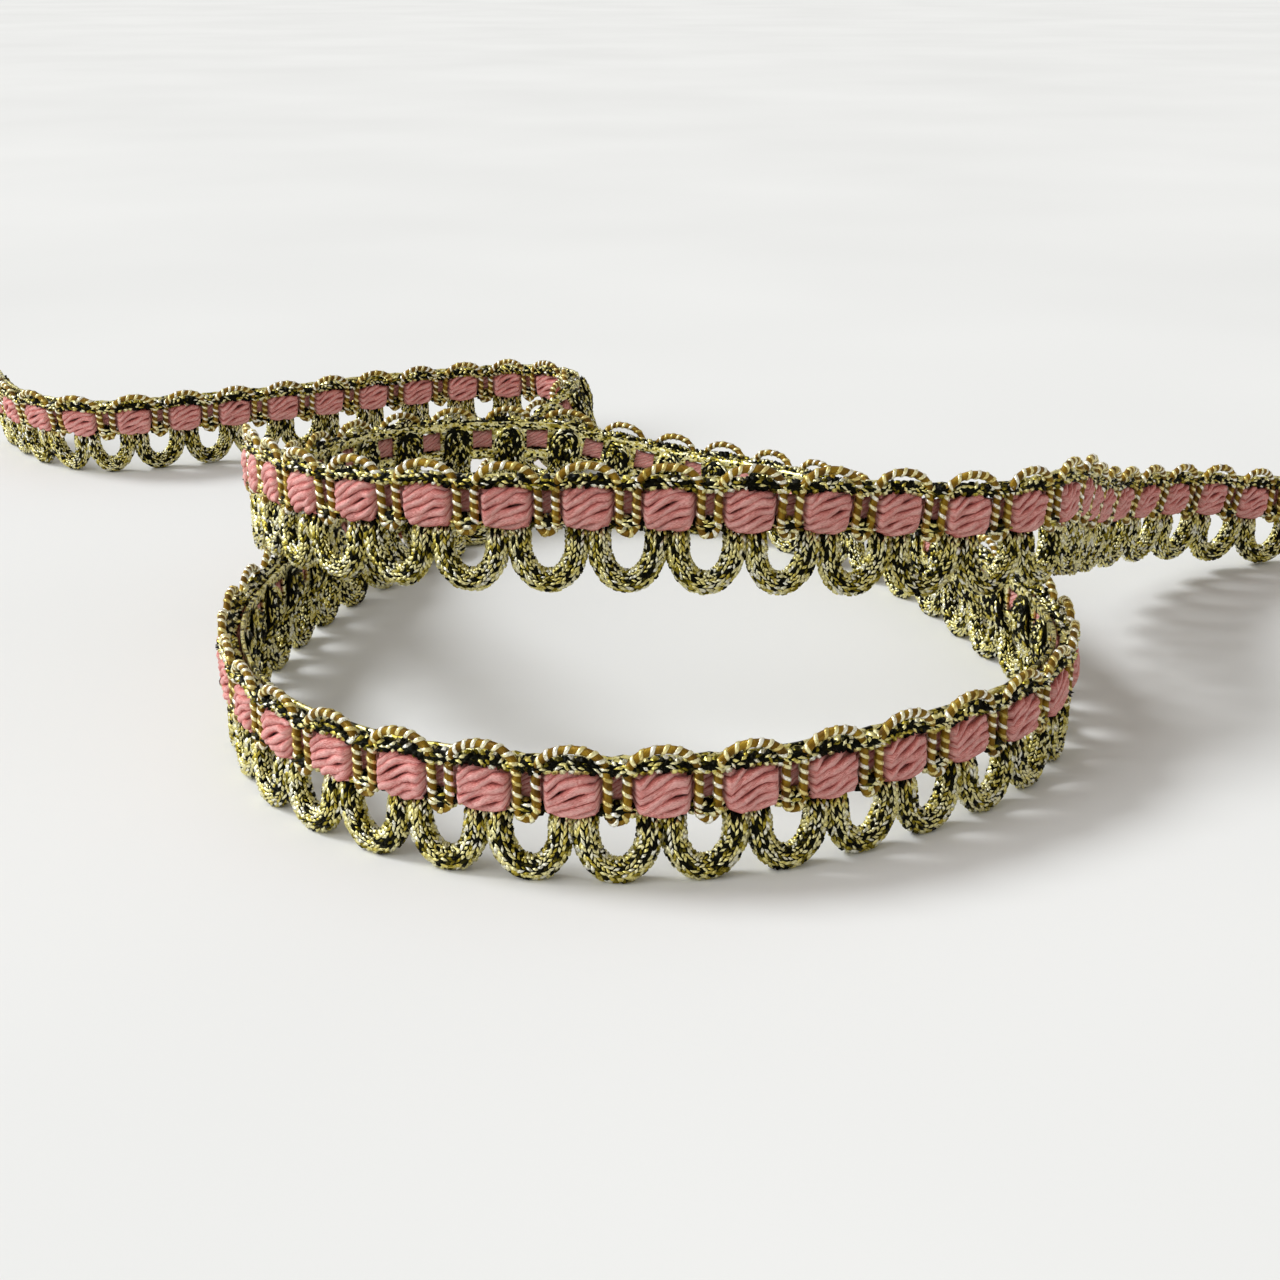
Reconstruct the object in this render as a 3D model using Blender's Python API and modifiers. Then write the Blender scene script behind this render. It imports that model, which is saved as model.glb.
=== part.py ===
"""A length of metallic loop braid that stands on its scalloped edge and winds round on itself.

The braid is first made straight, one thread at a time: s runs along it, v up across it from the
tips of the scallop loops, and w out of its face. Each thread is then laid along the route."""

import math

import bmesh
import bpy
import numpy as np
from mathutils import Vector

# Millimetres, up to the place where a thread is laid along the route in metres
MM = 0.001
CLEARANCE = 0.3
YARN_CLEARANCE = 0.4

# The repeat: one pink block and the gap after it
PITCH = 8.5
BRAID_HEIGHT = 14.5
MIDDLE = BRAID_HEIGHT / 2

# The flat ground behind the blocks, with a window behind each gap
GROUND_BACK = -1.5
GROUND_THICKNESS = 0.7
GROUND_BOTTOM = 6.9
GROUND_TOP = 13.2
WINDOW_BOTTOM = 8.3
WINDOW_TOP = 11.4
RUNG_HALF_WIDTH = 2.7

# The pink yarn: a crowned block on the face, then a narrow neck under the gimp
YARN_BACK = GROUND_BACK + GROUND_THICKNESS + YARN_CLEARANCE
BLOCK_FRONT = 1.5
BLOCK_BOTTOM = 6.8
BLOCK_TOP = 11.9
BLOCK_CROWN_HALF = 2.0
BLOCK_FOOT_HALF = 2.65
NECK_FRONT = 0.1
NECK_BOTTOM = 8.1
NECK_TOP = 11.2

# The wrapped gimp cord: an arch over each block, a leg each side of it, a nub under each gap
GIMP_HALF = 0.45
GIMP_OUT = NECK_FRONT + CLEARANCE + GIMP_HALF
GIMP_LEG = 3.35
GIMP_SHOULDER = 12.4
GIMP_ARCH_FLAT = 1.6
GIMP_ARCH = BRAID_HEIGHT - GIMP_HALF
GIMP_NUB = 7.25

# The knitted cord of the scallops: a U under each gap, joined to the next under the block
LOOP_HALF = 1.0
LOOP_OUT = -0.4
LOOP_JOIN = 5.8
LOOP_LEG_TOP = 1.25
LOOP_LEG_LOW = 1.5
LOOP_LEG_LOW_HEIGHT = 3.2
LOOP_TIP_START = 3.1
LOOP_TIP = 1.05

# The way the braid lies, from its far left end to its far right end, in millimetres on the floor.
# The last two columns are how high the scallops are lifted, and how far the picot edge leans over
# towards the braid's face, in degrees.
ROUTE = (
    # x, y, lift, lean
    (-115.7, 346.3, 0.0, 8),
    (-111.0, 337.0, 0.0, 12),
    (-102.5, 326.5, 0.0, 14),
    (-92.0, 321.5, 0.0, 14),
    (-78.0, 326.0, 0.0, 14),
    (-63.0, 333.0, 0.0, 14),
    (-48.0, 342.0, 0.0, 14),
    (-33.0, 348.5, 0.0, 12),
    (-20.0, 351.0, 0.0, 10),
    (-12.0, 346.5, 0.0, 14),
    (-10.6, 337.0, 0.0, 24),
    (-14.8, 324.0, 0.0, 48),
    (-20.5, 309.5, 0.0, 78),
    (-25.5, 295.0, 0.0, 90),
    (-30.0, 281.5, 0.0, 80),
    (-35.5, 268.5, 0.0, 48),
    (-39.8, 255.0, 0.0, 14),
    (-43.2, 240.0, 0.0, 0),
    (-46.0, 224.0, 0.0, 0),
    (-46.4, 210.0, 0.0, 0),
    (-43.9, 198.3, 0.0, 0),
    (-36.2, 183.5, 0.0, 0),
    (-22.7, 173.0, 0.0, 0),
    (-6.0, 168.4, 0.0, 0),
    (11.0, 170.2, 0.0, 0),
    (27.5, 178.6, 0.0, 0),
    (41.0, 190.5, 0.0, 0),
    (47.0, 202.5, 0.0, 0),
    (47.7, 215.0, 0.0, 0),
    (43.6, 233.5, 0.0, 0),
    (37.0, 254.5, 0.0, 0),
    (24.5, 274.5, 0.0, 0),
    (9.9, 286.0, 0.0, 0),
    (-4.5, 290.8, 1.8, 0),
    (-15.0, 291.8, 3.8, 0),
    (-30.0, 288.8, 4.1, 0),
    (-39.8, 281.2, 4.5, 0),
    (-46.2, 269.0, 4.8, 0),
    (-48.9, 255.0, 6.9, 0),
    (-49.0, 243.5, 10.7, 0),
    (-47.1, 232.5, 15.1, 0),
    (-42.8, 219.5, 17.1, 0),
    (-35.5, 207.5, 18.4, 0),
    (-22.5, 200.0, 19.4, 0),
    (-5.0, 198.4, 19.5, 0),
    (12.0, 199.0, 19.0, 0),
    (27.0, 203.5, 17.4, 0),
    (39.0, 208.0, 16.0, 0),
    (46.5, 214.0, 15.4, 0),
    (50.9, 222.0, 14.2, 4),
    (54.0, 230.5, 11.2, 8),
    (57.8, 239.5, 8.4, 10),
    (63.0, 248.5, 6.2, 10),
    (70.0, 257.0, 4.4, 10),
    (79.0, 264.5, 2.4, 8),
    (89.0, 269.5, 0.4, 4),
    (102.7, 272.9, 0.0, 0),
)
# The middle of the route's box, which becomes the origin
CENTRE_X = -7.43
CENTRE_Y = 260.32
ROUTE_STEP = 0.25

# Name, colour, metallic value and roughness
FINISHES = {
    "pink_yarn": ((0.62, 0.21, 0.21, 1.0), 0.0, 0.85),
    "picot_gimp": ((0.42, 0.28, 0.08, 1.0), 0.8, 0.4),
    "ground_band": ((0.11, 0.11, 0.05, 1.0), 0.7, 0.45),
    "loop_cord": ((0.24, 0.23, 0.08, 1.0), 0.8, 0.4),
}


def round_slopes(knots, values):
    return np.gradient(values, knots)


def level_slopes(knots, values):
    """Slopes that never carry the curve past its own points, so that what lies flat stays flat."""
    steps = np.diff(values) / np.diff(knots)
    slopes = np.zeros(len(values))
    for i in range(1, len(values) - 1):
        before, after = steps[i - 1], steps[i]
        if before * after > 0:
            slopes[i] = 2 * before * after / (before + after)
    return slopes


def hermite(knots, values, slopes, at):
    i = np.clip(np.searchsorted(knots, at, side="right") - 1, 0, len(knots) - 2)
    gap = knots[i + 1] - knots[i]
    t = (at - knots[i]) / gap
    ends = (1 + 2 * t) * (1 - t) ** 2 * values[i] + t**2 * (3 - 2 * t) * values[i + 1]
    turns = t * (1 - t) ** 2 * slopes[i] + t**2 * (t - 1) * slopes[i + 1]
    return ends + gap * turns


def standing_height(lean):
    """How high the middle line runs where the braid leans on the floor on its loops or its blocks."""
    on_loops = MIDDLE * np.cos(lean) + (LOOP_OUT + LOOP_HALF) * np.sin(lean)
    on_blocks = (MIDDLE - BLOCK_BOTTOM) * np.cos(lean) + BLOCK_FRONT * np.sin(lean)
    return np.maximum(on_loops, on_blocks)


def unit(vectors):
    return vectors / np.linalg.norm(vectors, axis=1, keepdims=True)


class Route:
    """The braid's middle line, with the way its face and its picot edge point along it."""

    def __init__(self):
        x, y, lift, lean = np.array(ROUTE, dtype=float).T
        hops = np.hypot(np.diff(x), np.diff(y))
        knots = np.concatenate(([0.0], np.cumsum(hops)))
        at = np.arange(0.0, knots[-1], ROUTE_STEP)
        over = np.radians(hermite(knots, lean, level_slopes(knots, lean), at))
        rise = hermite(knots, lift, level_slopes(knots, lift), at)
        self.middle = np.stack(
            (
                hermite(knots, x, round_slopes(knots, x), at) - CENTRE_X,
                hermite(knots, y, round_slopes(knots, y), at) - CENTRE_Y,
                rise + standing_height(over),
            ),
            axis=1,
        )
        run = np.linalg.norm(np.diff(self.middle, axis=0), axis=1)
        self.along = np.concatenate(([0.0], np.cumsum(run)))
        self.length = self.along[-1]
        forward = unit(np.gradient(self.middle, self.along, axis=0))
        aside = unit(np.cross(forward, (0.0, 0.0, 1.0)))
        upright = np.cross(aside, forward)
        cos, sin = np.cos(over)[:, None], np.sin(over)[:, None]
        self.edge = cos * upright + sin * aside
        self.face = cos * aside - sin * upright

    def read(self, table, s):
        return Vector([float(np.interp(s, self.along, column)) for column in table.T])

    def place(self, s, v, w):
        edge = self.read(self.edge, s).normalized()
        face = self.read(self.face, s).normalized()
        return (self.read(self.middle, s) + edge * (v - MIDDLE) + face * w) * MM


def finish(name):
    colour, metallic, roughness = FINISHES[name]
    material = bpy.data.materials.new(name)
    material.use_nodes = True
    shader = material.node_tree.nodes["Principled BSDF"]
    shader.inputs["Base Color"].default_value = colour
    shader.inputs["Metallic"].default_value = metallic
    shader.inputs["Roughness"].default_value = roughness
    return material


def straight_mesh(thing):
    """The mesh of a straight thread that a curve or a modifier makes, as the viewport shows it."""
    bpy.context.scene.collection.objects.link(thing)
    depsgraph = bpy.context.evaluated_depsgraph_get()
    mesh = bpy.data.meshes.new_from_object(thing.evaluated_get(depsgraph))
    bpy.data.objects.remove(thing)
    return mesh


def lay(name, mesh, route, collection, stretch, drop=0.0):
    """Lay a straight mesh, x along the braid, -y out of its face and z up, along the route."""
    shape = bmesh.new()
    shape.from_mesh(mesh)
    bmesh.ops.remove_doubles(shape, verts=shape.verts, dist=0.001)
    for vertex in shape.verts:
        s, v, w = vertex.co.x, vertex.co.z - drop, -vertex.co.y
        vertex.co = route.place(s * stretch, v, w)
    laid = bpy.data.meshes.new(name)
    shape.to_mesh(laid)
    shape.free()
    laid.materials.clear()
    laid.materials.append(finish(name))
    collection.objects.link(bpy.data.objects.new(name, laid))


def cord(name, points, out, half):
    """A straight braid's cord of square section through (s, v) points, as a mesh."""
    curve = bpy.data.curves.new(name, "CURVE")
    curve.dimensions = "3D"
    curve.bevel_depth = half * math.sqrt(2)
    curve.bevel_resolution = 0
    curve.use_fill_caps = True
    spline = curve.splines.new("POLY")
    spline.points.add(len(points) - 1)
    for knot, (s, v) in zip(spline.points, points):
        knot.co = (s, -out, v, 1.0)
        knot.tilt = math.radians(45)
    return straight_mesh(bpy.data.objects.new(name, curve))


def repeated(half_repeat, count, end_height):
    """The points of a half repeat and its mirror image, again and again, with plain ends."""
    points = [(0.0, end_height)]
    for k in range(count):
        start, end = k * PITCH, (k + 1) * PITCH
        points += [(start + s, v) for s, v in half_repeat]
        points += [(end - s, v) for s, v in reversed(half_repeat)]
    points.append((count * PITCH, end_height))
    return points


def picot_gimp(count):
    half_repeat = (
        (GIMP_ARCH_FLAT, GIMP_ARCH),
        (GIMP_LEG, GIMP_SHOULDER),
        (GIMP_LEG, GIMP_NUB),
    )
    return cord("picot_gimp", repeated(half_repeat, count, GIMP_ARCH), GIMP_OUT, GIMP_HALF)


def loop_cord(count):
    half_repeat = (
        (LOOP_LEG_TOP, LOOP_JOIN),
        (LOOP_LEG_LOW, LOOP_LEG_LOW_HEIGHT),
        (LOOP_TIP_START, LOOP_TIP),
    )
    return cord("loop_cord", repeated(half_repeat, count, LOOP_JOIN), LOOP_OUT, LOOP_HALF)


def ground_band(count):
    """A strip with a window behind each gap, thickened towards the braid's face."""
    columns = [0.0]
    for k in range(count):
        columns += [k * PITCH + RUNG_HALF_WIDTH, (k + 1) * PITCH - RUNG_HALF_WIDTH]
    columns.append(count * PITCH)
    rows = (GROUND_BOTTOM, WINDOW_BOTTOM, WINDOW_TOP, GROUND_TOP)
    across, up = len(columns) - 1, len(rows) - 1
    strip = bmesh.new()
    bmesh.ops.create_grid(strip, x_segments=across, y_segments=up, size=1.0)
    for vertex in strip.verts:
        column = round((vertex.co.x + 1) / 2 * across)
        row = round((vertex.co.y + 1) / 2 * up)
        vertex.co = (columns[column], -GROUND_BACK, rows[row])
    windows = [face for face in strip.faces if is_window(face.calc_center_median())]
    bmesh.ops.delete(strip, geom=windows, context="FACES_ONLY")
    mesh = bpy.data.meshes.new("ground_band")
    strip.to_mesh(mesh)
    strip.free()
    band = bpy.data.objects.new("ground_band", mesh)
    thickness = band.modifiers.new("thickness", "SOLIDIFY")
    thickness.thickness = GROUND_THICKNESS
    thickness.offset = 1.0
    return straight_mesh(band)


def is_window(centre):
    from_block = (centre.x + PITCH / 2) % PITCH - PITCH / 2
    return abs(from_block) > RUNG_HALF_WIDTH and WINDOW_BOTTOM < centre.z < WINDOW_TOP


def pink_yarn(count):
    """A loft between the yarn's wide blocks and the necks that join them."""
    block = (BLOCK_BOTTOM, BLOCK_TOP, BLOCK_FRONT)
    neck = (NECK_BOTTOM, NECK_TOP, NECK_FRONT)
    stations = [(0.0, block)]
    for k in range(count):
        start, end = k * PITCH, (k + 1) * PITCH
        stations += [(start + BLOCK_CROWN_HALF, block), (start + BLOCK_FOOT_HALF, neck)]
        stations += [(end - BLOCK_FOOT_HALF, neck), (end - BLOCK_CROWN_HALF, block)]
    stations.append((count * PITCH, block))
    yarn = bmesh.new()
    rings = []
    for s, (bottom, top, front) in stations:
        corners = ((-YARN_BACK, bottom), (-front, bottom), (-front, top), (-YARN_BACK, top))
        rings.append([yarn.verts.new((s, y, z)) for y, z in corners])
    for ring, following in zip(rings, rings[1:]):
        for i in range(4):
            j = (i + 1) % 4
            yarn.faces.new((ring[i], ring[j], following[j], following[i]))
    yarn.faces.new(reversed(rings[0]))
    yarn.faces.new(rings[-1])
    bmesh.ops.recalc_face_normals(yarn, faces=yarn.faces)
    mesh = bpy.data.meshes.new("pink_yarn")
    yarn.to_mesh(mesh)
    yarn.free()
    return mesh


def main():
    for thing in list(bpy.data.objects):
        bpy.data.objects.remove(thing)
    collection = bpy.data.collections.new("metallic_loop_braid")
    bpy.context.scene.collection.children.link(collection)
    route = Route()
    count = round(route.length / PITCH)
    stretch = route.length / (count * PITCH)
    lay("pink_yarn", pink_yarn(count), route, collection, stretch)
    lay("picot_gimp", picot_gimp(count), route, collection, stretch)
    lay("ground_band", ground_band(count), route, collection, stretch)
    loops = loop_cord(count)
    lowest = min(vertex.co.z for vertex in loops.vertices)
    lay("loop_cord", loops, route, collection, stretch, drop=lowest)


main()
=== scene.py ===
"""The looks of a metallic loop braid that stands on its scallops and winds round on itself.

Each thread is made on the straight braid first, in millimetres: s runs along it, v up across it
from the tips of the scallops, and w out of its face. It is then laid along the braid's route."""

import math

import bmesh
import bpy
import numpy as np
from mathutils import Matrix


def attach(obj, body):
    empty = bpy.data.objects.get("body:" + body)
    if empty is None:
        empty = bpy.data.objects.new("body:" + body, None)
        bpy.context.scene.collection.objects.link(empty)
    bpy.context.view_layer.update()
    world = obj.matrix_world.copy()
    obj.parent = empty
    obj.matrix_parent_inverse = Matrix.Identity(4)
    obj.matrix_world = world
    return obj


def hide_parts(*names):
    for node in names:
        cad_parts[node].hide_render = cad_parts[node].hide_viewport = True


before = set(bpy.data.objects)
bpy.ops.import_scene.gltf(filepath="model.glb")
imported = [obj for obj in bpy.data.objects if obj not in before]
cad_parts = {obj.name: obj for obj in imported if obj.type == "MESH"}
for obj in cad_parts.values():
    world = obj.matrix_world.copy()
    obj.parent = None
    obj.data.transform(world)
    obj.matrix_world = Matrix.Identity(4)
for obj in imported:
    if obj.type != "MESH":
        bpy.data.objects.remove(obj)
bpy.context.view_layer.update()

SEED = 7
random = np.random.default_rng(SEED)

MM = 0.001

# The camera stands at this place, in millimetres, and looks down at this angle
CAMERA_PLACE = (7.43, -260.32, 84.55)
CAMERA_DOWN = 19.6
CAMERA_LENS = 54.84
SENSOR = 36.0
CAMERA_CLIP = 0.005

# Daylight from a window at the left, softer light across the room, and the light of its walls.
# A sun's direction across the view, its elevation and its width are in degrees.
SUN_COLOUR = (0.94, 0.97, 1.0)
WINDOW_SUN = {"across": -104.0, "elevation": 42.0, "angle": 22.0, "power": 2.25}
ROOM_SUN = {"across": -62.0, "elevation": 30.0, "angle": 40.0, "power": 1.3}
WALL_COLOUR = (1.0, 0.965, 0.905, 1.0)
WALL_POWER = 0.47
FLOOR_SIZE = 16.0

# The repeat: one pink block and the gap after it, as on the solids
PITCH = 8.5
BRAID_HEIGHT = 14.5
MIDDLE = BRAID_HEIGHT / 2

# Out of the straight braid's face, and up from the floor
OUTWARD = (0.0, 0.0, 1.0)
UPRIGHT = (0.0, 0.0, 1.0)

# How the solids' braid leans on the floor
LOOP_BACK_REACH = 0.6
BLOCK_BOTTOM = 6.8
BLOCK_FRONT = 1.5

# The way the braid lies, as on the solids. The last two columns are how high the scallops are
# lifted, and how far the picot edge leans over towards the braid's face, in degrees.
ROUTE = (
    # x, y, lift, lean
    (-115.7, 346.3, 0.0, 8),
    (-111.0, 337.0, 0.0, 12),
    (-102.5, 326.5, 0.0, 14),
    (-92.0, 321.5, 0.0, 14),
    (-78.0, 326.0, 0.0, 14),
    (-63.0, 333.0, 0.0, 14),
    (-48.0, 342.0, 0.0, 14),
    (-33.0, 348.5, 0.0, 12),
    (-20.0, 351.0, 0.0, 10),
    (-12.0, 346.5, 0.0, 14),
    (-10.6, 337.0, 0.0, 24),
    (-14.8, 324.0, 0.0, 48),
    (-20.5, 309.5, 0.0, 78),
    (-25.5, 295.0, 0.0, 90),
    (-30.0, 281.5, 0.0, 80),
    (-35.5, 268.5, 0.0, 48),
    (-39.8, 255.0, 0.0, 14),
    (-43.2, 240.0, 0.0, 0),
    (-46.0, 224.0, 0.0, 0),
    (-46.4, 210.0, 0.0, 0),
    (-43.9, 198.3, 0.0, 0),
    (-36.2, 183.5, 0.0, 0),
    (-22.7, 173.0, 0.0, 0),
    (-6.0, 168.4, 0.0, 0),
    (11.0, 170.2, 0.0, 0),
    (27.5, 178.6, 0.0, 0),
    (41.0, 190.5, 0.0, 0),
    (47.0, 202.5, 0.0, 0),
    (47.7, 215.0, 0.0, 0),
    (43.6, 233.5, 0.0, 0),
    (37.0, 254.5, 0.0, 0),
    (24.5, 274.5, 0.0, 0),
    (9.9, 286.0, 0.0, 0),
    (-4.5, 290.8, 1.8, 0),
    (-15.0, 291.8, 3.8, 0),
    (-30.0, 288.8, 4.1, 0),
    (-39.8, 281.2, 4.5, 0),
    (-46.2, 269.0, 4.8, 0),
    (-48.9, 255.0, 6.9, 0),
    (-49.0, 243.5, 10.7, 0),
    (-47.1, 232.5, 15.1, 0),
    (-42.8, 219.5, 17.1, 0),
    (-35.5, 207.5, 18.4, 0),
    (-22.5, 200.0, 19.4, 0),
    (-5.0, 198.4, 19.5, 0),
    (12.0, 199.0, 19.0, 0),
    (27.0, 203.5, 17.4, 0),
    (39.0, 208.0, 16.0, 0),
    (46.5, 214.0, 15.4, 0),
    (50.9, 222.0, 14.2, 4),
    (54.0, 230.5, 11.2, 8),
    (57.8, 239.5, 8.4, 10),
    (63.0, 248.5, 6.2, 10),
    (70.0, 257.0, 4.4, 10),
    (79.0, 264.5, 2.4, 8),
    (89.0, 269.5, 0.4, 4),
    (102.7, 272.9, 0.0, 0),
)

# The middle of the whole braid's box, in the numbers of the table
CENTRE_X = -7.43
CENTRE_Y = 260.32

# How close together the points of the route's line and of a thread's line are
ROUTE_STEP = 0.25
THREAD_STEP = 0.08

# A thread's end is drawn in to this share of its size
END_SHARE = 0.02

# The sides of a tube that carries stitches or a wound strip, and how far apart its rings are
TUBE_SIDES = 8
TUBE_SPACING = 0.75

# The scallops' knitted cord, from behind a block's top down its leg to the loop's tip
LOOP_HALF = 1.15
LOOP_FLAT_HALF = 0.6
LOOP_HALF_REPEAT = (
    # s, v, w
    (0.0, 10.85, -1.6),
    (0.9, 10.4, -1.8),
    (1.12, 9.5, -1.85),
    (1.12, 8.3, -1.85),
    (1.13, 7.2, -1.45),
    (1.15, 6.2, -0.75),
    (1.17, 5.2, -0.42),
    (1.28, 4.1, -0.4),
    (1.65, 3.0, -0.4),
    (2.35, 1.95, -0.4),
    (3.25, 1.28, -0.4),
    (4.25, 1.1, -0.4),
)
LOOP_COLUMNS = 18
LOOP_ROW = 0.62
LOOP_STITCH = (0.86, 0.37, 0.2)
LOOP_SLANT = 0.36
LOOP_WILD = 0.16
LOOP_ROOT = 0.05

# The heights at which the cord grows flat, and at which painted shade darkens its stitches on the way
# up behind a block, with the powers that darken their tones there
LOOP_FLATTENS = (5.8, 7.8)
LOOP_SHADE_HEIGHTS = (6.2, 7.6)
LOOP_SHADE_POWERS = (1.0, 2.8)

# Above this height the block hides the cord's front, which begins at this sine of the angle
LOOP_HIDDEN = 7.0
LOOP_FRONT = -0.1

# A stitch's random shift along its row and round its thread, as shares of the room it has, and
# the random shares of its length, width and height
STITCH_SHIFT = 0.14
STITCH_TURN = 0.16
STITCH_LONG = (0.8, 1.25)
STITCH_WIDE = (0.8, 1.15)
STITCH_HIGH = (0.7, 1.35)

# The wrapped gimp: an arch over each block, a leg each side of it and a nub under each gap
GIMP_HALF = 0.44
GIMP_OUT = 0.85
GIMP_HALF_REPEAT = (
    (0.0, 14.02, GIMP_OUT),
    (1.2, 13.88, GIMP_OUT),
    (2.25, 13.4, GIMP_OUT),
    (3.0, 12.55, GIMP_OUT),
    (3.3, 11.4, GIMP_OUT),
    (3.35, 9.8, GIMP_OUT),
    (3.35, 8.3, GIMP_OUT),
    (3.38, 7.65, GIMP_OUT),
    (3.56, 7.12, GIMP_OUT),
    (3.87, 6.8, GIMP_OUT),
    (4.25, 6.7, GIMP_OUT),
)
GIMP_SPACING = 0.36

# The strip wound round the gimp: its section across and outwards, and the waves in its pitch
WRAP_PITCH = 1.12
WRAP_HALF = 0.235
WRAP_ACROSS = (-1.0, -0.6, 0.6, 1.0)
WRAP_PROUD = (-0.04, 0.09, 0.09, -0.04)
WRAP_STEPS = 9
WRAP_WAVES = (
    # size, rate, phase
    (0.14, 0.37, 0.0),
    (0.1, 1.13, 2.0),
)

# The pink yarn: a bundle of twisted strands, swollen into a block and drawn into a neck by turns
STRANDS = 10
STRAND_SIDES = 8
STRAND_HALF = 0.56
STRAND_SQUEEZE = 0.6
STRAND_TWIST = 0.46
STRAND_STATIONS = (
    -4.25, -3.5, -3.0, -2.75, -2.5, -2.2, -1.75, -1.1, -0.4, 0.4, 1.1, 1.75, 2.2, 2.5, 2.75, 3.0, 3.5
)
BLOCK_SIDE = (2.2, 3.0)
BARREL = 0.15
BARREL_SIDE = (0.8, 2.4)
BLOCK_SECTION = {"middle": 9.36, "out": 0.3, "half_up": 2.56, "half_out": 1.3}
NECK_SECTION = {"middle": 9.7, "out": -0.5, "half_up": 1.35, "half_out": 0.55}

# The yarn isn't even: each block settles a little, each strand has three slow waves, and its
# plies start this much further on than those of the strand before it
BLOCK_SETTLE = 0.4
WAVE_RATES = (0.9, 2.1)
WAVE_PHASES = (0.0, 6.3)
TURN_WAVE = 0.17
PROUD_WAVE = 0.12
SWELL_WAVE = 0.13
PLY_SHIFT = 3.7

# The yarn's stations keep this far from its ends, and its caps are this long
END_GAP = 0.05
END_CAP = 0.02

# The ground: a thin woven strip at the back, and two flecked rails that bind the gimp to it
GROUND_BACK = -1.5
GROUND_THICKNESS = 0.4
GROUND_ROWS = (6.9, 7.35, 7.8, 8.3, 9.3, 10.4, 11.4, 11.95, 12.5)
WINDOW_BOTTOM = 8.3
WINDOW_TOP = 11.4
RUNG_HALF_WIDTH = 2.7
RUNG_COLUMNS = (-2.7, -1.35, 0.0, 1.35, 2.7, 3.7, 4.8)
GROUND_TONES = (0.0, 0.45)

# The waves in the strip, which run one way above its middle and the other way below it
GROUND_WAVES = (
    # size, rate, phase
    (0.08, 2.9, 0.0),
    (0.06, 1.7, 1.0),
)
GROUND_MIDDLE = 9.9

# The rails, each over half a repeat from a block's middle
TOP_RAIL_HALF_REPEAT = (
    (0.0, 12.25, 0.35),
    (1.2, 12.2, 0.35),
    (2.3, 12.05, 0.35),
    (3.3, 12.0, 0.4),
    (4.25, 12.05, 0.45),
)
LOW_RAIL_HALF_REPEAT = (
    (0.0, 7.7, -1.1),
    (1.9, 7.7, -1.1),
    (2.75, 7.75, -0.4),
    (3.5, 7.75, 0.2),
    (4.25, 7.75, 0.35),
)
RAIL_COLUMNS = 8
RAIL_ROW = 0.74
RAIL_STITCH = (1.0, 0.5, 0.3)
RAIL_SLANT = 0.4
RAIL_WILD = 0.8
RAIL_DARKNESS = 1.8

# Half the width and half the depth of a rail, by the distance from a block's middle
TOP_RAIL_SIDE = ((0.0, 2.2, 3.3, 4.25), (0.56, 0.5, 0.5, 0.54))
TOP_RAIL_OUT = ((2.2, 3.3), (0.72, 0.95))
LOW_RAIL_SIDE = ((2.2, 3.2, 4.25), (0.6, 0.62, 0.7))
LOW_RAIL_OUT = ((2.2, 3.2), (0.45, 1.0))
BLOCK_HALF = 2.2


def hermite(knots, values, slopes, at):
    """The smooth curve through values with these slopes at the knots."""
    i = np.clip(np.searchsorted(knots, at, side="right") - 1, 0, len(knots) - 2)
    gap = knots[i + 1] - knots[i]
    t = (at - knots[i]) / gap
    ends = (1 + 2 * t) * (1 - t) ** 2 * values[i] + t**2 * (3 - 2 * t) * values[i + 1]
    turns = t * (1 - t) ** 2 * slopes[i] + t**2 * (t - 1) * slopes[i + 1]
    return ends + gap * turns


def level_slopes(knots, values):
    """Slopes that never carry the curve past its own points, so that what lies flat stays flat."""
    steps = np.diff(values) / np.diff(knots)
    slopes = np.zeros(len(values))
    for i in range(1, len(values) - 1):
        before, after = steps[i - 1], steps[i]
        if before * after > 0:
            slopes[i] = 2 * before * after / (before + after)
    return slopes


def unit(vectors):
    return vectors / np.linalg.norm(vectors, axis=-1, keepdims=True)


def run_length(points):
    hops = np.linalg.norm(np.diff(points, axis=0), axis=1)
    return np.concatenate(([0.0], np.cumsum(hops)))


def read(table, knots, at):
    return np.stack([np.interp(at, knots, column) for column in table.T], axis=-1)


def waves(table, at):
    return sum(size * np.sin(at * rate + phase) for size, rate, phase in table)


def from_block(s):
    """How far a place along the braid is from the middle of the nearest block."""
    return np.abs((s + PITCH / 2) % PITCH - PITCH / 2)


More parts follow.
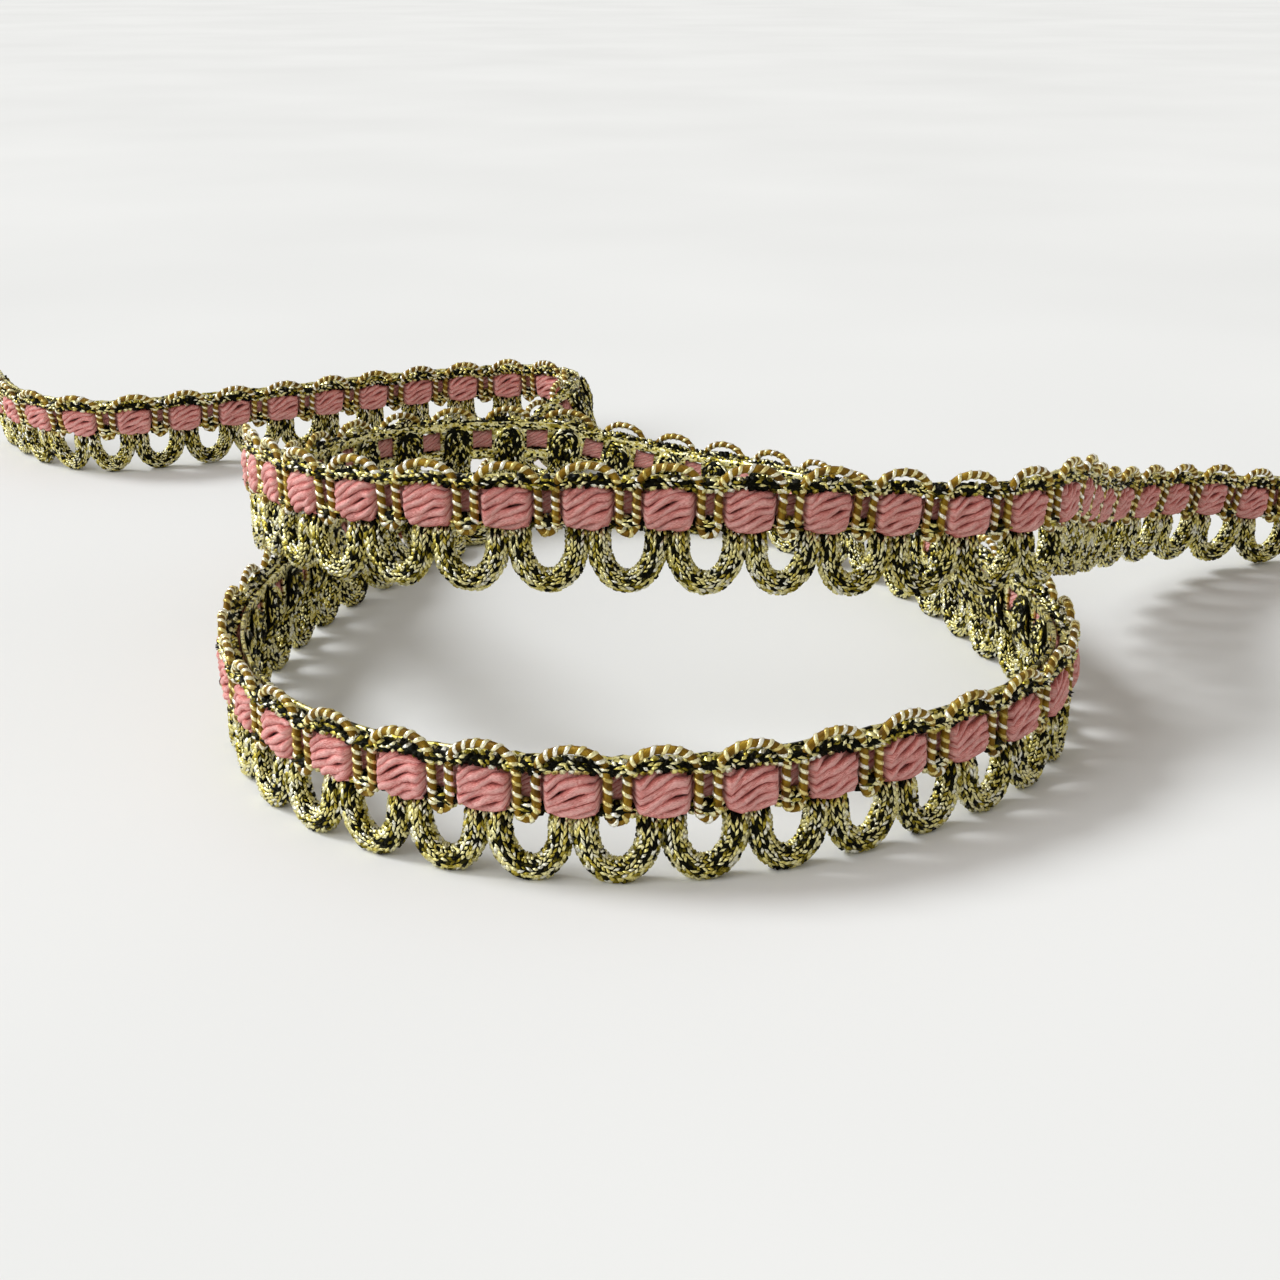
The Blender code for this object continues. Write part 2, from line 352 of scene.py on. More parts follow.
class Route:
    """The braid's middle line, with the way its face and its picot edge point along it."""

    def __init__(self):
        x, y, lift, lean = np.array(ROUTE, dtype=float).T
        knots = run_length(np.stack((x, y), axis=1))
        at = np.arange(0.0, knots[-1], ROUTE_STEP)
        over = np.radians(hermite(knots, lean, level_slopes(knots, lean), at))
        rise = hermite(knots, lift, level_slopes(knots, lift), at)
        on_loops = MIDDLE * np.cos(over) + LOOP_BACK_REACH * np.sin(over)
        on_blocks = (MIDDLE - BLOCK_BOTTOM) * np.cos(over) + BLOCK_FRONT * np.sin(over)
        self.middle = np.stack(
            (
                hermite(knots, x, np.gradient(x, knots), at) - CENTRE_X,
                hermite(knots, y, np.gradient(y, knots), at) - CENTRE_Y,
                rise + np.maximum(on_loops, on_blocks),
            ),
            axis=1,
        )
        self.along = run_length(self.middle)
        self.length = self.along[-1]
        forward = unit(np.gradient(self.middle, self.along, axis=0))
        aside = unit(np.cross(forward, UPRIGHT))
        upright = np.cross(aside, forward)
        cos, sin = np.cos(over)[:, None], np.sin(over)[:, None]
        self.edge = cos * upright + sin * aside
        self.face = cos * aside - sin * upright
        self.count = round(self.length / PITCH)
        self.stretch = self.length / (self.count * PITCH)

    def place(self, straight):
        """Points (s, v, w) of the straight braid in millimetres, laid on the floor in metres."""
        s, v, w = straight.T
        s = s * self.stretch
        middle = read(self.middle, self.along, s)
        edge = unit(read(self.edge, self.along, s))
        face = unit(read(self.face, self.along, s))
        laid = (middle + edge * (v - MIDDLE)[:, None] + face * w[:, None]) * MM
        laid[:, 2] = np.maximum(laid[:, 2], 0.0)
        return laid


route = Route()
BRAID_END = route.count * PITCH


def repeated(half_repeat):
    """The points of a half repeat and its mirror image, again and again along the braid."""
    half = np.array(half_repeat)
    mirrored = half[-2:0:-1] * (-1, 1, 1) + (PITCH, 0, 0)
    whole = np.concatenate((half, mirrored))
    rows = [whole + (k * PITCH, 0, 0) for k in range(route.count)]
    return np.concatenate(rows + [half[:1] + (BRAID_END, 0, 0)])


class Thread:
    """A thread's middle line on the straight braid, with its side and its outward direction."""

    def __init__(self, points):
        knots = run_length(points)
        at = np.arange(0.0, knots[-1], THREAD_STEP)
        columns = [hermite(knots, c, np.gradient(c, knots), at) for c in points.T]
        self.middle = np.stack(columns, axis=1)
        self.along = run_length(self.middle)
        self.length = self.along[-1]
        forward = unit(np.gradient(self.middle, self.along, axis=0))
        level = np.array(OUTWARD)
        self.out = unit(level - forward * (forward @ level)[:, None])
        self.side = np.cross(self.out, forward)

    def at(self, a):
        return read(self.middle, self.along, a)

    def around(self, a, angle, half_side, half_out):
        """Points at a distance a along the thread and an angle round it."""
        side = read(self.side, self.along, a)
        out = read(self.out, self.along, a)
        across = (half_side * np.cos(angle))[..., None]
        outward = (half_out * np.sin(angle))[..., None]
        return self.at(a) + side * across + out * outward


class Pile:
    """Points and faces of one kind of thread, with the tone and the grain place of each point."""

    def __init__(self):
        self.points, self.tones, self.grains, self.faces = [], [], [], []
        self.total = 0

    def add(self, points, faces, grain, tone=0.0):
        points = points.reshape(-1, 3)
        self.points.append(points)
        self.tones.append(np.broadcast_to(tone, len(points)))
        self.grains.append(grain.reshape(-1, 3))
        self.faces += [block + self.total for block in faces]
        self.total += len(points)


def tube_faces(rings, sides):
    ring = np.arange(rings - 1)[:, None] * sides
    side = np.arange(sides)[None, :]
    after = (side + 1) % sides
    corners = (ring + side, ring + after, ring + sides + after, ring + sides + side)
    return np.stack(corners, axis=-1).reshape(-1, 4)


def tube(pile, thread, spacing, half_side, half_out):
    """A plain round or flattened tube along a thread, drawn in to a point at its two ends."""
    a = np.linspace(0.0, thread.length, round(thread.length / spacing))
    angle = np.arange(TUBE_SIDES) * 2 * math.pi / TUBE_SIDES
    a_grid, angle_grid = np.meshgrid(a, angle, indexing="ij")
    place = thread.at(a)
    closing = np.ones(len(a))
    closing[[0, -1]] = END_SHARE
    wide = np.broadcast_to(half_side(place) * closing, (TUBE_SIDES, len(a))).T
    deep = np.broadcast_to(half_out(place) * closing, (TUBE_SIDES, len(a))).T
    points = thread.around(a_grid, angle_grid, wide, deep)
    grain = np.stack((a_grid, angle_grid, np.zeros_like(a_grid)), axis=-1)
    pile.add(points, [tube_faces(len(a), TUBE_SIDES)], grain)


# One stitch: a small grain with two ends, two sides and a ridge of two points
STITCH_ALONG = np.array((-0.5, -0.06, 0.06, 0.5, -0.22, 0.22))
STITCH_ACROSS = np.array((0.0, -0.5, 0.5, 0.0, 0.0, 0.0))
STITCH_HEIGHT = np.array((-0.35, -0.25, -0.25, -0.35, 1.0, 1.0))
STITCH_FACES = np.array(((0, 1, 4), (1, 5, 4), (1, 3, 5), (0, 4, 2), (4, 5, 2), (5, 3, 2)))


def stitches(pile, thread, columns, row, half_side, half_out, size, slant, wild, keep, tones):
    """Knitted stitches in columns round a thread, each pair of columns slanting together."""
    rows = int(thread.length / row)
    i, j = np.meshgrid(np.arange(rows), np.arange(columns), indexing="ij")
    i, j = i.ravel(), j.ravel()
    shift = random.uniform(-STITCH_SHIFT, STITCH_SHIFT, len(i))
    a = (i + 0.5 * (j % 2) + 0.25 + shift) * row
    turn = random.uniform(-STITCH_TURN, STITCH_TURN, len(i))
    angle = (j + turn) * 2 * math.pi / columns
    place = thread.at(a)
    kept = keep(place, angle) & (a > row) & (a < thread.length - row)
    a, angle, j, place = a[kept], angle[kept], j[kept], place[kept]
    long = size[0] * random.uniform(*STITCH_LONG, len(a))
    wide = size[1] * random.uniform(*STITCH_WIDE, len(a))
    high = size[2] * random.uniform(*STITCH_HIGH, len(a))
    lean = np.where(j % 2 == 0, slant, -slant) + random.uniform(-wild, wild, len(a))
    along = STITCH_ALONG * long[:, None]
    across = STITCH_ACROSS * wide[:, None]
    cos, sin = np.cos(lean)[:, None], np.sin(lean)[:, None]
    side_half, out_half = half_side(place)[:, None], half_out(place)[:, None]
    girth = (side_half + out_half) / 2
    at = a[:, None] + along * cos - across * sin
    turned = angle[:, None] + (along * sin + across * cos) / girth
    proud = STITCH_HEIGHT * high[:, None]
    points = thread.around(at, turned, side_half + proud, out_half + proud)
    starts = np.arange(len(a))[:, None, None] * len(STITCH_ALONG)
    faces = [(starts + STITCH_FACES).reshape(-1, 3)]
    grain = np.stack((at, turned, np.zeros_like(at)), axis=-1)
    pile.add(points, faces, grain, np.repeat(tones(place), len(STITCH_ALONG)))


def loop_tones_and_painted_shade(place):
    """Random tones, from black through olive and gold to cream, with painted shade that darkens them
    behind the blocks.
    """
    # Painted shade: the random tones darken on the way up behind a block
    darkness = np.interp(place[:, 1], LOOP_SHADE_HEIGHTS, LOOP_SHADE_POWERS)
    return random.uniform(0.0, 1.0, len(place)) ** darkness


def rail_tones(place):
    """The rails are darker, with brighter glints."""
    return random.uniform(0.0, 1.0, len(place)) ** RAIL_DARKNESS


def full(value):
    return lambda place: np.full(len(place), value)


def by_block(table):
    """A size that changes with the distance from the middle of the nearest block."""
    return lambda place: np.interp(from_block(place[:, 0]), *table)


def loop_pile():
    pile = Pile()
    thread = Thread(repeated(LOOP_HALF_REPEAT))

    def half_out(place):
        return np.interp(place[:, 1], LOOP_FLATTENS, (LOOP_HALF, LOOP_FLAT_HALF))

    def seen(place, angle):
        behind_block = place[:, 1] > LOOP_HIDDEN
        return ~(behind_block & (np.sin(angle) > LOOP_FRONT))

    # The core under the stitches keeps tone 0, which the metal paints black: painted shade between
    # the stitches
    tube(pile, thread, TUBE_SPACING, full(LOOP_HALF - LOOP_ROOT), half_out)
    stitches(
        pile,
        thread,
        LOOP_COLUMNS,
        LOOP_ROW,
        full(LOOP_HALF),
        half_out,
        size=LOOP_STITCH,
        slant=LOOP_SLANT,
        wild=LOOP_WILD,
        keep=seen,
        tones=loop_tones_and_painted_shade,
    )
    return pile


def rail_pile():
    pile = Pile()

    def top_seen(place, angle):
        return np.full(len(place), True)

    def low_seen(place, angle):
        behind_block = from_block(place[:, 0]) < BLOCK_HALF
        return ~(behind_block & (np.sin(angle) > 0.0))

    rails = (
        (TOP_RAIL_HALF_REPEAT, TOP_RAIL_SIDE, TOP_RAIL_OUT, top_seen),
        (LOW_RAIL_HALF_REPEAT, LOW_RAIL_SIDE, LOW_RAIL_OUT, low_seen),
    )
    for half_repeat, side, out, seen in rails:
        thread = Thread(repeated(half_repeat))
        # The core under the stitches keeps tone 0, which the metal paints black: painted shade
        # between the stitches
        tube(pile, thread, TUBE_SPACING, by_block(side), by_block(out))
        stitches(
            pile,
            thread,
            RAIL_COLUMNS,
            RAIL_ROW,
            by_block(side),
            by_block(out),
            size=RAIL_STITCH,
            slant=RAIL_SLANT,
            wild=RAIL_WILD,
            keep=seen,
            tones=rail_tones,
        )
    return pile


def gimp_core_pile():
    pile = Pile()
    thread = Thread(repeated(GIMP_HALF_REPEAT))
    tube(pile, thread, GIMP_SPACING, full(GIMP_HALF), full(GIMP_HALF))
    return pile


def wrap_pile():
    """The flat metal strip that winds round the gimp, turning to the left as it goes."""
    pile = Pile()
    thread = Thread(repeated(GIMP_HALF_REPEAT))
    count = int(thread.length / WRAP_PITCH * WRAP_STEPS)
    wide = len(WRAP_ACROSS)
    turn = np.arange(count) / WRAP_STEPS
    middle = (turn + waves(WRAP_WAVES, turn) + 0.5) * WRAP_PITCH
    section = np.array(WRAP_ACROSS) * WRAP_HALF
    a = np.clip(middle[:, None] + section, 0.0, thread.length)
    angle = np.broadcast_to(-turn[:, None] * 2 * math.pi, a.shape)
    reach = np.broadcast_to(GIMP_HALF + np.array(WRAP_PROUD), a.shape)
    points = thread.around(a, angle, reach, reach)
    start = np.arange(count - 1)[:, None] * wide
    side = np.arange(wide - 1)[None, :]
    corners = (start + side, start + side + 1, start + wide + side + 1, start + wide + side)
    faces = np.stack(corners, axis=-1).reshape(-1, 4)
    half_turns = random.uniform(0.0, 1.0, count // WRAP_STEPS * 2 + 4)
    tone = np.interp(turn * 2, np.arange(len(half_turns)), half_turns)
    grain = np.stack((a, angle, np.zeros_like(a)), axis=-1)
    pile.add(points, [faces], grain, np.repeat(tone, wide))
    return pile


def smooth_step(low, high, values):
    t = np.clip((values - low) / (high - low), 0.0, 1.0)
    return t * t * (3 - 2 * t)


def along_repeats(offsets):
    """The distances along the braid of stations placed alike in each repeat, both ends included."""
    s = (np.arange(route.count + 1)[:, None] * PITCH + np.array(offsets)).ravel()
    s = np.sort(s[(s > END_GAP) & (s < BRAID_END - END_GAP)])
    return np.concatenate(([0.0, END_CAP], s, [BRAID_END - END_CAP, BRAID_END]))


def stadium(turn, half_up, half_out):
    """A place round a flattened ring with straight front and back, from its top down the front."""
    flat = 2 * (half_up - half_out)
    bend = math.pi * half_out
    run = (turn % 1.0) * 2 * (flat + bend)
    back = run >= flat + bend
    run = np.where(back, run - flat - bend, run)
    side = np.where(back, -1.0, 1.0)
    angle = np.clip((run - flat) / half_out, 0.0, math.pi)
    straight = np.minimum(run, flat)
    up = side * (flat / 2 - straight - half_out * np.sin(angle))
    out = side * half_out * np.cos(angle)
    return up, out


def yarn_pile():
    """Strands that run round each other, so that each block's face shows them rising to the right."""
    pile = Pile()
    s = along_repeats(STRAND_STATIONS)
    block = np.round(s / PITCH).astype(int)
    off_block = np.abs(s - block * PITCH)
    neck = smooth_step(*BLOCK_SIDE, off_block)
    closing = np.ones(len(s))
    closing[[0, -1]] = END_SHARE
    size = {k: v + (NECK_SECTION[k] - v) * neck for k, v in BLOCK_SECTION.items()}
    size["half_up"] *= 1 - BARREL * smooth_step(*BARREL_SIDE, off_block) * (1 - neck)
    half = STRAND_HALF * (1 + (STRAND_SQUEEZE - 1) * neck)
    girth = 4 * (size["half_up"] - size["half_out"]) + 2 * math.pi * (size["half_out"] - half)
    rising = np.concatenate(([0.0], np.cumsum(np.diff(s) * STRAND_TWIST / girth[:-1])))
    ring = np.arange(STRAND_SIDES) * 2 * math.pi / STRAND_SIDES
    settle = random.uniform(-BLOCK_SETTLE, BLOCK_SETTLE, route.count + 2)[block] / STRANDS
    faces = tube_faces(len(s), STRAND_SIDES)
    for row in range(STRANDS):
        rates = random.uniform(*WAVE_RATES, 3)
        phases = random.uniform(*WAVE_PHASES, 3)
        drift = TURN_WAVE * np.sin(s * rates[0] + phases[0]) / STRANDS
        proud = (PROUD_WAVE * np.sin(s * rates[1] + phases[1])) * (1 - neck)
        swell = 1 + SWELL_WAVE * np.sin(s * rates[2] + phases[2])
        turn = (row + 0.5) / STRANDS - rising + settle + drift
        up, out = stadium(turn, size["half_up"] - half, size["half_out"] - half)
        up, out = up + size["middle"], out + size["out"] + proud
        reach = (half * swell * closing)[:, None]
        v = up[:, None] + reach * np.cos(ring)
        w = out[:, None] + reach * np.sin(ring)
        across = np.broadcast_to(s[:, None], v.shape)
        around = np.broadcast_to(ring, v.shape)
        grain = np.stack((across, around, np.full(v.shape, row * PLY_SHIFT)), axis=-1)
        pile.add(np.stack((across, v, w), axis=-1), [faces], grain)
    return pile


def mark(mesh, tone, grain):
    """Store each point's tone and grain place as attributes, which the materials read."""
    tones = mesh.attributes.new("tone", "FLOAT", "POINT")
    tones.data.foreach_set("value", tone.astype(np.float32))
    places = mesh.attributes.new("grain", "FLOAT_VECTOR", "POINT")
    places.data.foreach_set("vector", grain.astype(np.float32).ravel())


def new_mesh(name, points, faces, tone, grain):
    """A smooth mesh from arrays."""
    corners = [block.shape[1] for block in faces for _ in range(len(block))]
    loops = np.concatenate([block.ravel() for block in faces])
    mesh = bpy.data.meshes.new(name)
    mesh.vertices.add(len(points))
    mesh.vertices.foreach_set("co", points.astype(np.float32).ravel())
    mesh.loops.add(len(loops))
    mesh.loops.foreach_set("vertex_index", loops.astype(np.int32))
    mesh.polygons.add(len(corners))
    starts = np.concatenate(([0], np.cumsum(corners)[:-1]))
    mesh.polygons.foreach_set("loop_start", starts.astype(np.int32))
    mark(mesh, tone, grain)
    mesh.update(calc_edges=True)
    mesh.shade_smooth()
    return mesh


def show(name, pile, stretches, node, material):
    """Lay a pile along the route and show it in so many stretches, one piece each."""
    straight = np.concatenate(pile.points)
    tone, grain = np.concatenate(pile.tones), np.concatenate(pile.grains)
    laid = route.place(straight)
    shown = []
    inner_edges = [BRAID_END * part / stretches for part in range(1, stretches)]
    edges = [-math.inf, *inner_edges, math.inf]
    for part, (low, high) in enumerate(zip(edges[:-1], edges[1:]), start=1):
        kept = []
        for block in pile.faces:
            first = straight[block[:, 0], 0]
            kept.append(block[(first >= low) & (first < high)])
        used, renamed = np.unique(np.concatenate([b.ravel() for b in kept]), return_inverse=True)
        cuts = np.cumsum([b.size for b in kept])[:-1]
        faces = [r.reshape(b.shape) for r, b in zip(np.split(renamed, cuts), kept)]
        mesh = new_mesh(f"{name}_{part}", laid[used], faces, tone[used], grain[used])
        mesh.materials.append(material)
        piece = bpy.data.objects.new(mesh.name, mesh)
        bpy.context.scene.collection.objects.link(piece)
        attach(piece, "root")
        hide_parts(node)
        shown.append(piece)
    return shown


def ground_strip(material):
    """The thin strip at the back, with a window behind each gap, made as one closed sheet."""
    columns = [0.0]
    for k in range(route.count):
        columns += [k * PITCH + c for c in RUNG_COLUMNS if 0.0 < k * PITCH + c < BRAID_END]
    columns += [BRAID_END - RUNG_HALF_WIDTH, BRAID_END - RUNG_HALF_WIDTH / 2, BRAID_END]
    columns = sorted(set(round(c, 4) for c in columns))
    across, up = len(columns) - 1, len(GROUND_ROWS) - 1
    strip = bmesh.new()
    bmesh.ops.create_grid(strip, x_segments=across, y_segments=up, size=1.0)
    for vertex in strip.verts:
        column = round((vertex.co.x + 1) / 2 * across)
        row = round((vertex.co.y + 1) / 2 * up)
        vertex.co = (columns[column], -GROUND_BACK, GROUND_ROWS[row])
    windows = []
    for face in strip.faces:
        centre = face.calc_center_median()
        between_rungs = from_block(centre.x) > RUNG_HALF_WIDTH
        if between_rungs and WINDOW_BOTTOM < centre.z < WINDOW_TOP:
            windows.append(face)
    bmesh.ops.delete(strip, geom=windows, context="FACES_ONLY")
    flat = bpy.data.meshes.new("ground_strip_flat")
    strip.to_mesh(flat)
    strip.free()
    maker = bpy.data.objects.new("ground_strip_maker", flat)
    bpy.context.scene.collection.objects.link(maker)
    thickness = maker.modifiers.new("thickness", "SOLIDIFY")
    thickness.thickness = GROUND_THICKNESS
    thickness.offset = 1.0
    depsgraph = bpy.context.evaluated_depsgraph_get()
    mesh = bpy.data.meshes.new_from_object(maker.evaluated_get(depsgraph))
    bpy.data.objects.remove(maker)
    straight = np.array([(c.co.x, c.co.z, -c.co.y) for c in mesh.vertices])
    uneven = waves(GROUND_WAVES, straight[:, 0])
    straight[:, 1] += uneven * np.sign(straight[:, 1] - GROUND_MIDDLE)
    mesh.vertices.foreach_set("co", route.place(straight).astype(np.float32).ravel())
    mark(mesh, random.uniform(*GROUND_TONES, len(straight)), straight)
    mesh.update()
    mesh.shade_smooth()
    mesh.materials.clear()
    mesh.materials.append(material)
    piece = bpy.data.objects.new("ground_strip", mesh)
    bpy.context.scene.collection.objects.link(piece)
    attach(piece, "root")
    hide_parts("ground_band")
    return piece


class Finish:
    """A Principled material, with short ways to add and join its texture nodes."""

    def __init__(self, name, metallic, roughness):
        self.material = bpy.data.materials.new(name)
        self.material.use_nodes = True
        self.nodes = self.material.node_tree.nodes
        self.shader = self.nodes["Principled BSDF"]
        self.set("Metallic", metallic)
        self.set("Roughness", roughness)

    def set(self, socket, value):
        self.shader.inputs[socket].default_value = value

    def add(self, kind, **settings):
        node = self.nodes.new(kind)
        for key, value in settings.items():
            setattr(node, key, value)
        return node

    def join(self, source, target):
        self.material.node_tree.links.new(source, target)

    def place(self):
        return self.add("ShaderNodeTexCoord").outputs["Object"]

    def tone(self):
        return self.add("ShaderNodeAttribute", attribute_name="tone").outputs["Fac"]

    def grain(self):
        return self.add("ShaderNodeAttribute", attribute_name="grain").outputs["Vector"]

    def scaled(self, vector, scale):
        node = self.add("ShaderNodeMapping")
        node.inputs["Scale"].default_value = scale
        self.join(vector, node.inputs["Vector"])
        return node.outputs["Vector"]

    def noise(self, vector, scale, detail=2.0):
        node = self.add("ShaderNodeTexNoise")
        node.inputs["Scale"].default_value = scale
        node.inputs["Detail"].default_value = detail
        self.join(vector, node.inputs["Vector"])
        return node.outputs["Fac"]

    def ramp(self, factor, *stops):
        node = self.add("ShaderNodeValToRGB")
        while len(node.color_ramp.elements) < len(stops):
            node.color_ramp.elements.new(0.5)
        for element, (position, colour) in zip(node.color_ramp.elements, stops):
            element.position = position
            element.color = (*colour, 1.0)
        self.join(factor, node.inputs["Fac"])
        return node.outputs["Color"]

    def multiplied(self, first, second):
        """Two colours multiplied."""
        node = self.add("ShaderNodeMix", data_type="RGBA", blend_type="MULTIPLY")
        node.inputs["Factor"].default_value = 1.0
        self.join(first, node.inputs["A"])
        self.join(second, node.inputs["B"])
        return node.outputs["Result"]

    def blend(self, first, second, share):
        node = self.add("ShaderNodeMix", data_type="FLOAT")
        node.inputs["Factor"].default_value = share
        self.join(first, node.inputs["A"])
        self.join(second, node.inputs["B"])
        return node.outputs["Result"]

    def math(self, operation, first, second=None, third=None):
        node = self.add("ShaderNodeMath", operation=operation)
        for socket, value in zip(node.inputs, (first, second, third)):
            if isinstance(value, float):
                socket.default_value = value
            elif value is not None:
                self.join(value, socket)
        return node.outputs["Value"]

    def colour(self, source):
        self.join(source, self.shader.inputs["Base Color"])

    def bump(self, height, strength, distance):
        node = self.add("ShaderNodeBump")
        node.inputs["Strength"].default_value = strength
        node.inputs["Distance"].default_value = distance
        self.join(height, node.inputs["Height"])
        self.join(node.outputs["Normal"], self.shader.inputs["Normal"])

    def roughness(self, factor, low, high):
        node = self.add("ShaderNodeMapRange")
        node.inputs["To Min"].default_value = low
        node.inputs["To Max"].default_value = high
        self.join(factor, node.inputs["Value"])
        self.join(node.outputs["Result"], self.shader.inputs["Roughness"])


WHITE = (1.0, 1.0, 1.0)
SILVER_GOLD = (1.0, 0.99, 0.88)
# The lowest tones are black; the cords' cores keep tone 0, so they show as painted shade between the
# stitches
METAL_TONES = (
    (0.0, (0.004, 0.004, 0.001)),
    (0.17, (0.004, 0.004, 0.001)),
    (0.22, (0.06, 0.05, 0.004)),
    (0.28, (0.27, 0.215, 0.014)),
    (0.35, (0.62, 0.5, 0.08)),
    (0.43, (0.96, 0.86, 0.31)),
    (0.8, (1.0, 0.95, 0.6)),
    (0.9, SILVER_GOLD),
)
STRIP_TONES = (
    (0.0, (0.4, 0.28, 0.04)),
    (0.25, (0.85, 0.7, 0.26)),
    (0.45, (0.97, 0.9, 0.5)),
    (0.75, SILVER_GOLD),
)
SILK_TONES = (
    (0.25, (0.09, 0.04, 0.001)),
    (0.5, (0.3, 0.16, 0.004)),
    (0.75, (0.54, 0.34, 0.02)),
)
# The pink, from painted shade in the valleys between the strands to a painted highlight on their
# crests
PINK_TONES_AND_PAINTED_LIGHT = (
    (0.25, (0.26, 0.035, 0.028)),
    (0.68, (0.65, 0.17, 0.145)),
    (0.92, (0.96, 0.4, 0.36)),
    (1.0, (1.0, 0.56, 0.51)),
)


def knitted_metal(name, cell_share):
    """Metal yarn: each stitch has its own tone, and cells of filaments break it up."""
    made = Finish(name, metallic=0.7, roughness=0.35)
    made.set("Specular IOR Level", 0.2)
    place = made.place()
    cells = made.add("ShaderNodeTexVoronoi")
    cells.inputs["Scale"].default_value = 1.0
    made.join(made.scaled(made.grain(), (2.1, 3.4, 1.0)), cells.inputs["Vector"])
    channels = made.add("ShaderNodeSeparateColor")
    made.join(cells.outputs["Color"], channels.inputs["Color"])
    tone = made.blend(made.tone(), channels.outputs["Red"], cell_share)
    fleck = made.noise(place, scale=4200.0, detail=3.0)
    shade = made.ramp(fleck, (0.3, (0.36, 0.33, 0.16)), (0.5, WHITE))
    made.colour(made.multiplied(made.ramp(tone, *METAL_TONES), shade))
    made.roughness(made.noise(place, scale=2600.0), low=0.18, high=0.5)
    made.bump(made.noise(place, scale=7000.0, detail=3.0), strength=0.5, distance=0.00008)
    return made.material


def gimp_silk():
    """The gimp's brown-gold core, wound with fine thread that shows as rings across it."""
    made = Finish("gimp_core", metallic=0.35, roughness=0.42)
    made.set("Specular IOR Level", 0.25)
    rings = made.add("ShaderNodeTexWave", bands_direction="X")
    rings.inputs["Scale"].default_value = 2.6
    rings.inputs["Distortion"].default_value = 1.2
    made.join(made.grain(), rings.inputs["Vector"])
    patchy = made.ramp(made.noise(made.place(), scale=900.0), *SILK_TONES)
    lines = made.ramp(rings.outputs["Fac"], (0.0, (0.3, 0.24, 0.14)), (0.6, WHITE))
    made.colour(made.multiplied(patchy, lines))
    made.bump(rings.outputs["Fac"], strength=0.6, distance=0.00006)
    return made.material


def gimp_strip():
    """The pale metal strip round the gimp, from gold to near white along its turns."""
    made = Finish("gimp_strip", metallic=0.6, roughness=0.28)
    scuff = made.noise(made.place(), scale=3000.0, detail=3.0)
    shade = made.ramp(scuff, (0.3, (0.6, 0.55, 0.4)), (0.55, WHITE))
    made.colour(made.multiplied(made.ramp(made.tone(), *STRIP_TONES), shade))
    made.roughness(scuff, low=0.18, high=0.42)
    made.bump(scuff, strength=0.35, distance=0.00005)
    return made.material


def pink_cotton():
    """Dusty rose cotton: plies wind round each strand, with fine fibres and slow changes of tone, and
    painted light: each strand's crest is painted lighter and the valleys between strands darker.
    """
    made = Finish("pink_cotton", metallic=0.0, roughness=0.8)
    made.set("Specular IOR Level", 0.2)
    made.set("Sheen Weight", 0.1)
    made.set("Sheen Roughness", 0.5)
    place = made.place()
    grain = made.grain()
    split = made.add("ShaderNodeSeparateXYZ")
    made.join(grain, split.inputs["Vector"])
    along, around, shift = split.outputs["X"], split.outputs["Y"], split.outputs["Z"]
    wound = made.math("MULTIPLY_ADD", along, 1.7, shift)
    wound = made.math("MULTIPLY_ADD", around, 2.0, wound)
    wobble = made.noise(place, scale=900.0)
    plies = made.math("SINE", made.math("MULTIPLY_ADD", wobble, 3.0, wound))
    fibres = made.noise(made.scaled(grain, (0.9, 3.2, 1.0)), scale=4.0, detail=4.0)
    # Painted light: each strand's crest is painted lighter, and the valleys between the strands
    # darker
    crest_light = made.math("ABSOLUTE", made.math("SINE", around))
    uneven = made.math("MULTIPLY_ADD", fibres, 0.8, made.math("MULTIPLY", plies, 0.07))
    base = made.ramp(made.math("MULTIPLY_ADD", crest_light, 0.6, uneven), *PINK_TONES_AND_PAINTED_LIGHT)
    streaks = made.ramp(fibres, (0.3, (0.74, 0.64, 0.64)), (0.62, (1.06, 1.04, 1.04)))
    clouds = made.noise(place, scale=600.0, detail=3.0)
    patches = made.ramp(clouds, (0.3, (0.86, 0.8, 0.8)), (0.7, WHITE))
    made.colour(made.multiplied(made.multiplied(base, streaks), patches))
    relief = made.math("MULTIPLY_ADD", fibres, 1.6, plies)
    made.bump(relief, strength=0.9, distance=0.00011)
    return made.material


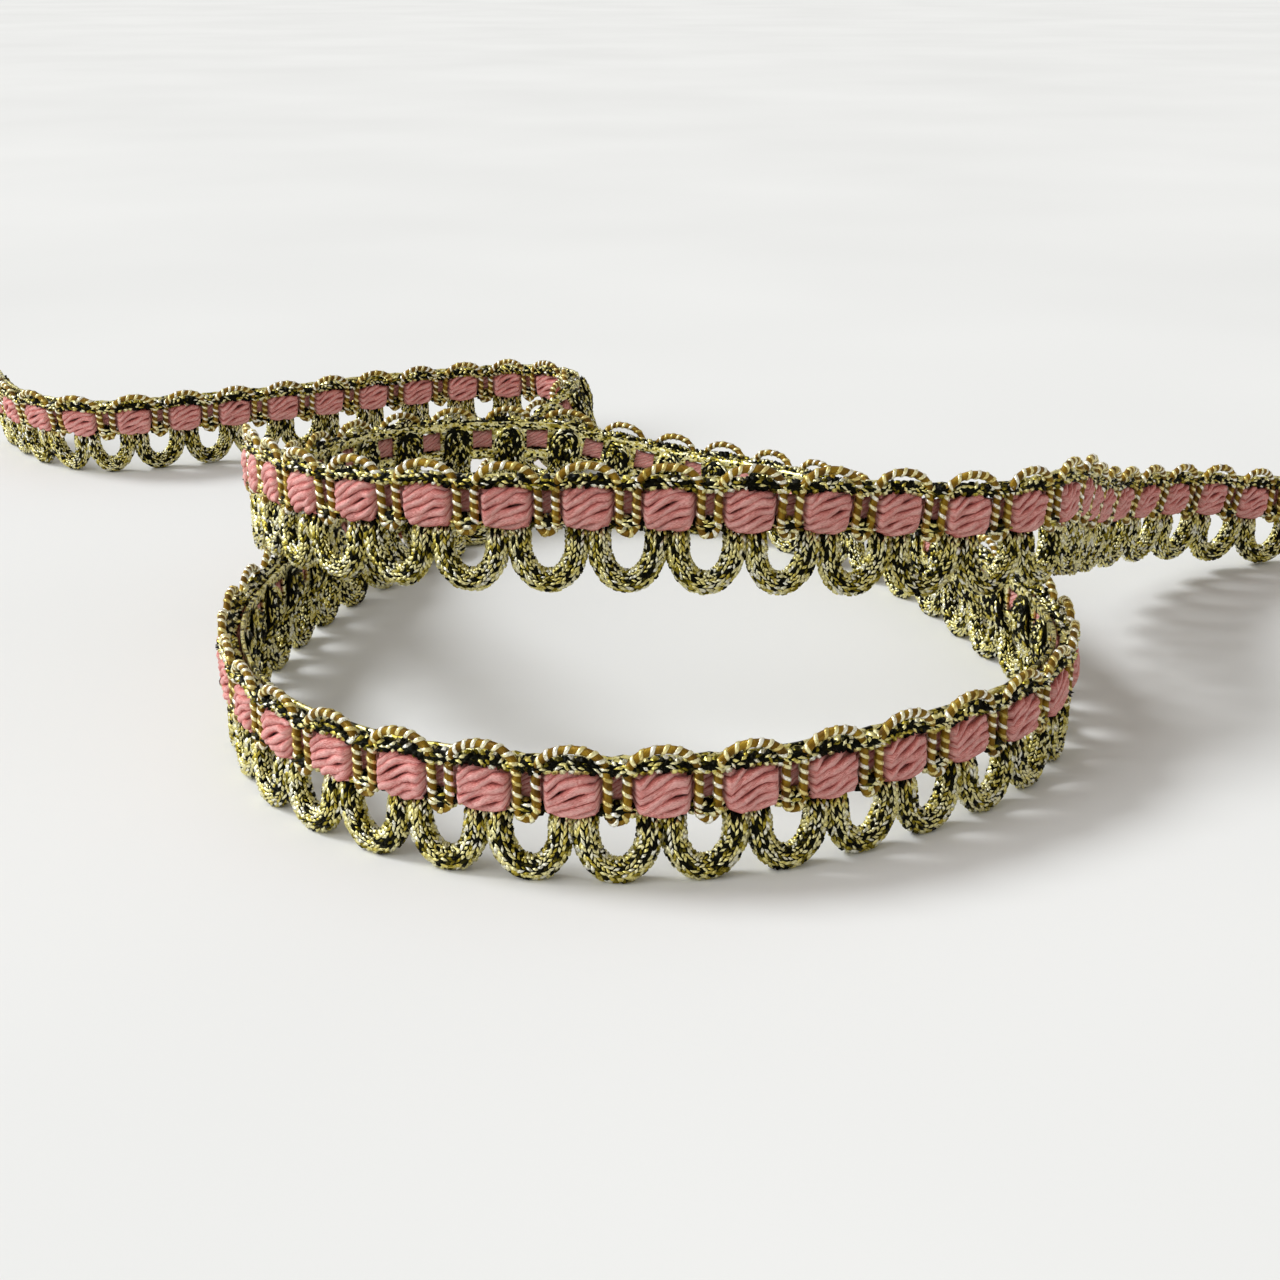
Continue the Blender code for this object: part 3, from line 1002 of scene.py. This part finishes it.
def floor_finish():
    """A pale matt table top with a faint, slow change of tone."""
    made = Finish("floor", metallic=0.0, roughness=0.7)
    clouds = made.noise(made.place(), scale=6.0)
    made.colour(made.ramp(clouds, (0.3, (0.76, 0.76, 0.75)), (0.7, (0.81, 0.81, 0.8))))
    return made.material


def set_stage():
    bpy.ops.mesh.primitive_plane_add(size=FLOOR_SIZE)
    floor = bpy.context.object
    floor.name = "floor"
    floor.data.materials.append(floor_finish())

    world = bpy.data.worlds.new("soft_room")
    world.use_nodes = True
    background = world.node_tree.nodes["Background"]
    background.inputs["Color"].default_value = WALL_COLOUR
    background.inputs["Strength"].default_value = WALL_POWER
    bpy.context.scene.world = world


def sun(name, across, elevation, angle, power):
    """A soft sun that shines from a direction across the view and an elevation."""
    light = bpy.data.lights.new(name, "SUN")
    light.energy = power
    light.color = SUN_COLOUR
    light.angle = math.radians(angle)
    holder = bpy.data.objects.new(name, light)
    holder.rotation_euler = (math.radians(90 - elevation), 0.0, math.radians(across))
    bpy.context.scene.collection.objects.link(holder)


def set_camera():
    """The photo's view, with the colours shown as they are."""
    bpy.context.scene.view_settings.view_transform = "Standard"
    camera = bpy.data.cameras.new("camera")
    camera.sensor_width = SENSOR
    camera.lens = CAMERA_LENS
    camera.clip_start = CAMERA_CLIP
    holder = bpy.data.objects.new("camera", camera)
    holder.location = np.array(CAMERA_PLACE) * MM
    holder.rotation_euler = (math.radians(90 - CAMERA_DOWN), 0.0, 0.0)
    bpy.context.scene.collection.objects.link(holder)
    bpy.context.scene.camera = holder


def make_braid():
    metal = knitted_metal("knitted_metal", 0.12)
    ground = ground_strip(knitted_metal("ground_metal", 0.8))
    trim = show("loop_cord_stretch", loop_pile(), 3, "loop_cord", metal)
    trim += show("ground_rail", rail_pile(), 2, "ground_band", metal)
    trim += show("gimp_core", gimp_core_pile(), 1, "picot_gimp", gimp_silk())
    trim += show("gimp_strip", wrap_pile(), 1, "picot_gimp", gimp_strip())
    trim += show("pink_strands", yarn_pile(), 2, "pink_yarn", pink_cotton())
    for piece in [ground, *trim]:
        print(piece.name, sum(len(p.vertices) - 2 for p in piece.data.polygons), "triangles")


set_camera()
set_stage()
sun("window", **WINDOW_SUN)
sun("room", **ROOM_SUN)
make_braid()
